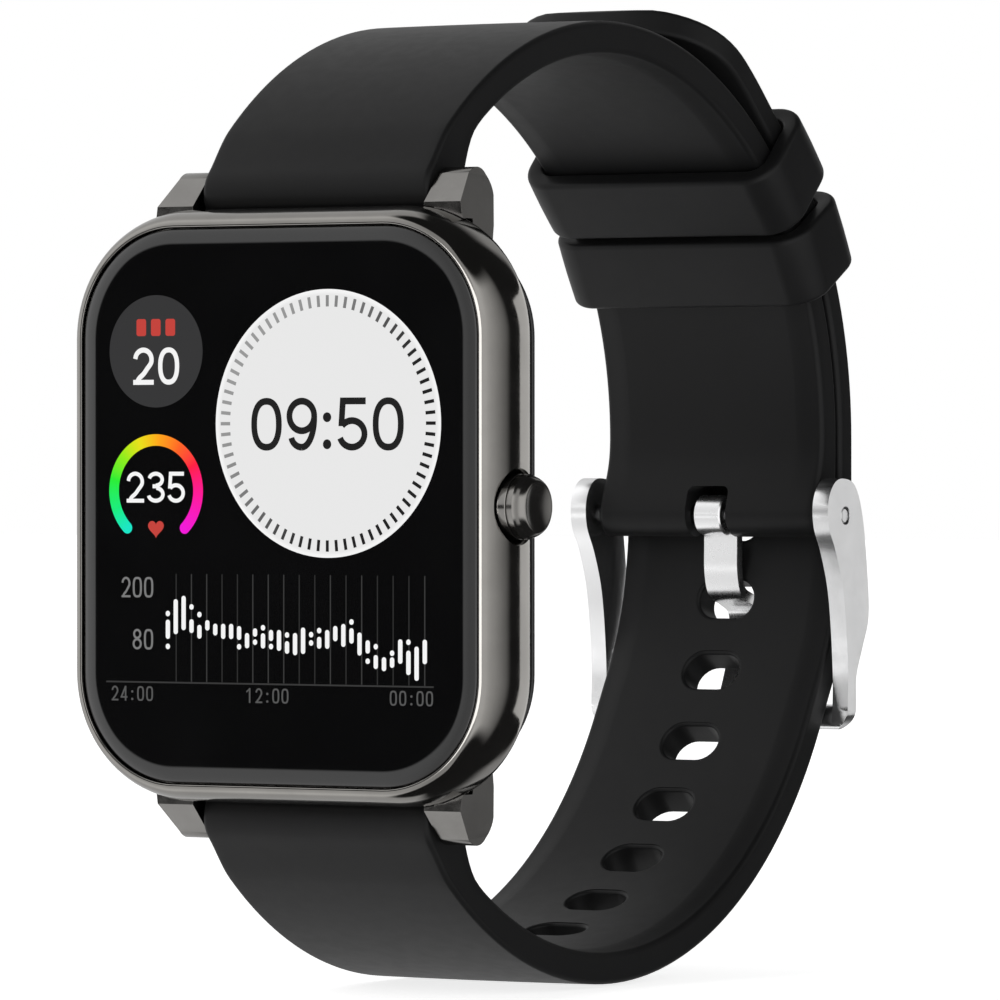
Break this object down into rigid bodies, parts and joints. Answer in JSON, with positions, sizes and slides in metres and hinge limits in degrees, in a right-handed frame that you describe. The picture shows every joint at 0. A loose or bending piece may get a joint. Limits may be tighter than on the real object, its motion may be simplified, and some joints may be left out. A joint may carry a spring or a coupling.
{
  "type": "smartwatch",
  "caption": "Smartwatch with a glass-fronted rounded-square metal case, a side push button and a silicone strap in two lengths, closed round the wrist by a pin buckle and keepers.",
  "frame": {"origin": "centre of the flat outer face of the rear sensor window, the face that rests on the wrist", "axes": "+Z towards the strap's upper (buckle) half, 12 o'clock; -Y out of the display towards the viewer; +X towards the side button, 3 o'clock"},
  "size_m": [0.0388, 0.0685, 0.0742],
  "materials": {
    "gunmetal_plating": "dark polished plating",
    "cover_glass": "black-bordered gloss glass",
    "sensor_glass": "dark gloss glass",
    "display_panel": "dark panel",
    "black_seal": "matte",
    "strap_silicone": "matte silicone",
    "polished_steel": "polished",
    "spring_steel": "satin",
    "rear_plastic": "satin",
    "inner_plastic": "matte",
    "circuit_board": "solder mask",
    "battery_pouch": "satin foil",
    "contact_plating": "polished",
    "nickel_magnet": "nickel plated"
  },
  "bodies": {
    "case": {"front_bezel": "gunmetal_plating", "case_frame": "gunmetal_plating", "cover_glass": "cover_glass", "glass_gasket": "black_seal", "display_module": "display_panel", "mid_plate": "inner_plastic", "main_board": "circuit_board", "battery": "battery_pouch", "vibration_motor": "nickel_magnet", "side_switch": "inner_plastic", "sensor_board": "circuit_board", "sensor_window": "sensor_glass", "rear_cover": "rear_plastic", "rear_gasket": "black_seal", "rear_screw_1": "polished_steel", "rear_screw_2": "polished_steel", "rear_screw_3": "polished_steel", "rear_screw_4": "polished_steel", "charging_contact_1": "contact_plating", "charging_contact_2": "contact_plating", "charging_magnet_1": "nickel_magnet", "charging_magnet_2": "nickel_magnet", "button_spring": "spring_steel"},
    "button": {"button_cap": "gunmetal_plating", "button_clip": "spring_steel", "button_seal": "black_seal"},
    "upper_strap": {"strap_short": "strap_silicone", "keeper_fixed": "strap_silicone", "spring_bar_upper": "polished_steel", "release_spring_upper": "spring_steel"},
    "lower_strap": {"strap_long": "strap_silicone", "spring_bar_lower": "polished_steel", "release_spring_lower": "spring_steel"},
    "release_upper": {"release_pin_upper": "polished_steel"},
    "release_lower": {"release_pin_lower": "polished_steel"},
    "loose_keeper": {"keeper_free": "strap_silicone"},
    "buckle": {"buckle_frame": "polished_steel", "buckle_pin": "polished_steel"},
    "tang": {"buckle_tang": "polished_steel"}
  },
  "joints": [
    {"name": "button_press", "type": "slide", "parent": "case", "child": "button", "axis": [-1, 0, 0], "range_m": [0, 0.0004], "deforming": ["button_spring"]},
    {"name": "upper_strap_swing", "type": "hinge", "parent": "case", "child": "upper_strap", "pos_m": [0, -0.0036, 0.023], "axis": [1, 0, 0], "range_deg": [0, 50], "deforming": ["strap_long"]},
    {"name": "lower_strap_swing", "type": "hinge", "parent": "case", "child": "lower_strap", "pos_m": [0, -0.0036, -0.023], "axis": [1, 0, 0], "range_deg": [-50, 0], "deforming": ["strap_long"]},
    {"name": "release_upper_slide", "type": "slide", "parent": "upper_strap", "child": "release_upper", "axis": [-1, 0, 0], "range_m": [0, 0.0012], "deforming": ["release_spring_upper"]},
    {"name": "release_lower_slide", "type": "slide", "parent": "lower_strap", "child": "release_lower", "axis": [-1, 0, 0], "range_m": [0, 0.0012], "deforming": ["release_spring_lower"]},
    {"name": "loose_keeper_slide", "type": "hinge", "parent": "upper_strap", "child": "loose_keeper", "pos_m": [0, 0.0205, 0.0008], "axis": [1, 0, 0], "range_deg": [0, 28], "deforming": ["strap_long"]},
    {"name": "buckle_swing", "type": "hinge", "parent": "upper_strap", "child": "buckle", "pos_m": [0, 0.0521, -0.001], "axis": [1, 0, 0], "range_deg": [0, 60]},
    {"name": "tang_swing", "type": "hinge", "parent": "buckle", "child": "tang", "pos_m": [0, 0.0521, -0.001], "axis": [1, 0, 0], "range_deg": [0, 45]}
  ]
}
